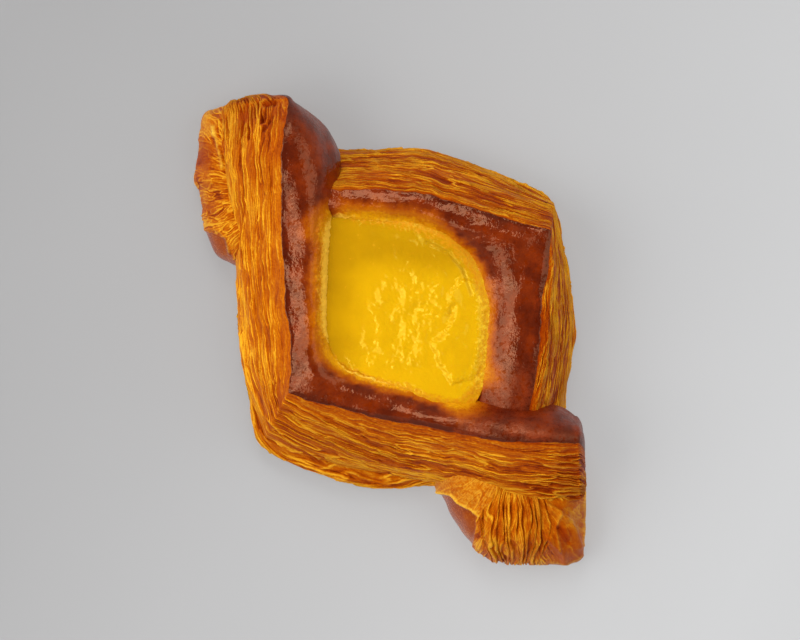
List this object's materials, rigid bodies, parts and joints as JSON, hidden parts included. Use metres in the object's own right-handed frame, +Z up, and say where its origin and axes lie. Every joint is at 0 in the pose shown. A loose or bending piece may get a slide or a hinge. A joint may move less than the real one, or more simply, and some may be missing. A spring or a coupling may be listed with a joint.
{
  "type": "danish pastry",
  "caption": "Laminated pastry frame of crossed, folded border strips round a shallow well filled with smooth yellow custard.",
  "frame": {"origin": "middle of the object's box on the plane of its flat baked underside", "axes": "+Z up out of the custard; +Y along the long way towards the upper-left tip; +X across towards the plain upper-right corner"},
  "size_m": [0.0947, 0.1135, 0.0296],
  "materials": {
    "crust": "egg-washed baked crust, glossy brown on top, matt golden layers at the cut sides",
    "custard": "smooth wet yellow custard"
  },
  "bodies": {
    "root": {"pastry": "crust", "custard": "custard"}
  },
  "joints": []
}
